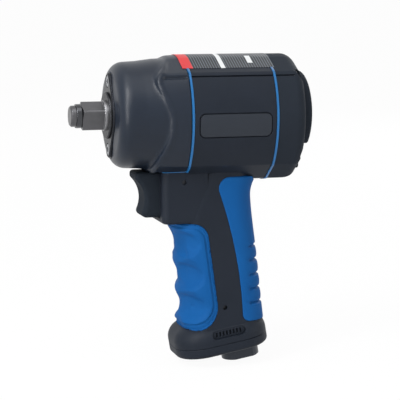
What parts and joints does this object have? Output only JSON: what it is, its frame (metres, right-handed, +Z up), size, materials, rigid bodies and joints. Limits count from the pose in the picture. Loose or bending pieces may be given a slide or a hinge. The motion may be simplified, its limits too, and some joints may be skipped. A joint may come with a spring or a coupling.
{
  "type": "air impact wrench",
  "caption": "Pistol-grip air impact wrench with a square drive, soft grips, a straight-pull trigger, a reverse lever and an air inlet in the base of its handle.",
  "frame": {"origin": "on the drive axis at the root of the drive square, where a socket seats", "axes": "+X rearwards along the drive axis, +Z up away from the handle, -Y the tool's left side"},
  "size_m": [0.1342, 0.0668, 0.1761],
  "materials": {
    "composite": "fine textured moulding",
    "case_metal": "black textured coating",
    "grip_rubber": "matte soft moulding",
    "drive_steel": "turned and ground",
    "steel": "machined",
    "black_steel": "black oxide",
    "vane_resin": "pressed fibre",
    "trigger_plastic": "satin moulding",
    "seal_rubber": "matte",
    "brass": "turned",
    "inlet_alloy": "dark anodised",
    "felt": "pressed felt",
    "plate_plastic": "satin"
  },
  "bodies": {
    "housing": {"motor_housing": "composite", "rear_cover": "composite", "base_cap": "composite", "exhaust_louvres": "composite", "hammer_case": "case_metal", "nose_plate": "case_metal", "front_grip": "grip_rubber", "rear_grip": "grip_rubber", "front_trim_ring": "grip_rubber", "rear_trim_ring": "grip_rubber", "anvil_bushing": "drive_steel", "motor_cylinder": "steel", "front_end_plate": "steel", "rear_end_plate": "steel", "cylinder_dowel": "steel", "front_bearing_outer": "steel", "rear_bearing_outer": "steel", "valve_spring": "steel", "nose_screws": "black_steel", "rear_bolts": "black_steel", "base_screws": "black_steel", "trigger_pin": "black_steel", "inlet_pin": "black_steel", "reverse_o_ring": "seal_rubber", "rod_seal": "seal_rubber", "inlet_o_ring": "seal_rubber", "rod_bushing": "brass", "valve_seat": "brass", "inlet_screen": "brass", "inlet_bushing": "inlet_alloy", "muffler": "felt", "name_plate_left": "plate_plastic", "name_plate_right": "plate_plastic"},
    "rotor": {"rotor": "steel", "rotor_vanes": "vane_resin", "hammer_cage": "steel", "hammer_pins": "steel", "front_bearing_inner": "steel", "rear_bearing_inner": "steel"},
    "anvil": {"anvil": "drive_steel", "socket_retaining_ring": "drive_steel", "retaining_o_ring": "seal_rubber"},
    "front_hammer": {"front_hammer": "steel"},
    "rear_hammer": {"rear_hammer": "steel"},
    "front_balls": {"front_bearing_balls": "steel"},
    "rear_balls": {"rear_bearing_balls": "steel"},
    "trigger": {"trigger": "trigger_plastic", "trigger_rod": "steel"},
    "throttle_valve": {"throttle_valve": "steel"},
    "reverse_lever": {"reverse_lever": "trigger_plastic", "lever_screw": "black_steel", "reverse_valve": "steel"}
  },
  "joints": [
    {"name": "rotor_spin", "type": "hinge", "parent": "housing", "child": "rotor", "pos_m": [0, 0, 0], "axis": [1, 0, 0], "continuous": true},
    {"name": "anvil_spin", "type": "hinge", "parent": "housing", "child": "anvil", "pos_m": [0, 0, 0], "axis": [1, 0, 0], "continuous": true},
    {"name": "front_balls_roll", "type": "hinge", "parent": "housing", "child": "front_balls", "pos_m": [0, 0, 0], "axis": [1, 0, 0], "continuous": true},
    {"name": "rear_balls_roll", "type": "hinge", "parent": "housing", "child": "rear_balls", "pos_m": [0, 0, 0], "axis": [1, 0, 0], "continuous": true},
    {"name": "front_hammer_swing", "type": "hinge", "parent": "rotor", "child": "front_hammer", "pos_m": [0, 0, 0.0202], "axis": [1, 0, 0], "range_deg": [-3, 3]},
    {"name": "rear_hammer_swing", "type": "hinge", "parent": "rotor", "child": "rear_hammer", "pos_m": [0, 0, -0.0202], "axis": [1, 0, 0], "range_deg": [-3, 3]},
    {"name": "trigger_slide", "type": "slide", "parent": "housing", "child": "trigger", "axis": [1, 0, 0], "range_m": [0, 0.006], "stiffness_N_per_m": 1000, "springref_m": -0.006},
    {"name": "throttle_tip", "type": "hinge", "parent": "housing", "child": "throttle_valve", "pos_m": [0.06144, 0, -0.07076], "axis": [0, 1, 0], "range_deg": [0, 14.98], "deforming": ["valve_spring"]},
    {"name": "reverse_turn", "type": "hinge", "parent": "housing", "child": "reverse_lever", "pos_m": [0.11, 0, -0.0235], "axis": [1, 0, 0], "range_deg": [-35, 35]}
  ],
  "couplings": [
    {"joint": "anvil_spin", "follows": "rotor_spin", "ratio": 1},
    {"joint": "front_balls_roll", "follows": "rotor_spin", "ratio": 0.4},
    {"joint": "rear_balls_roll", "follows": "rotor_spin", "ratio": 0.4},
    {"joint": "throttle_tip", "follows": "trigger_slide", "rad_per_m": 42.989}
  ]
}
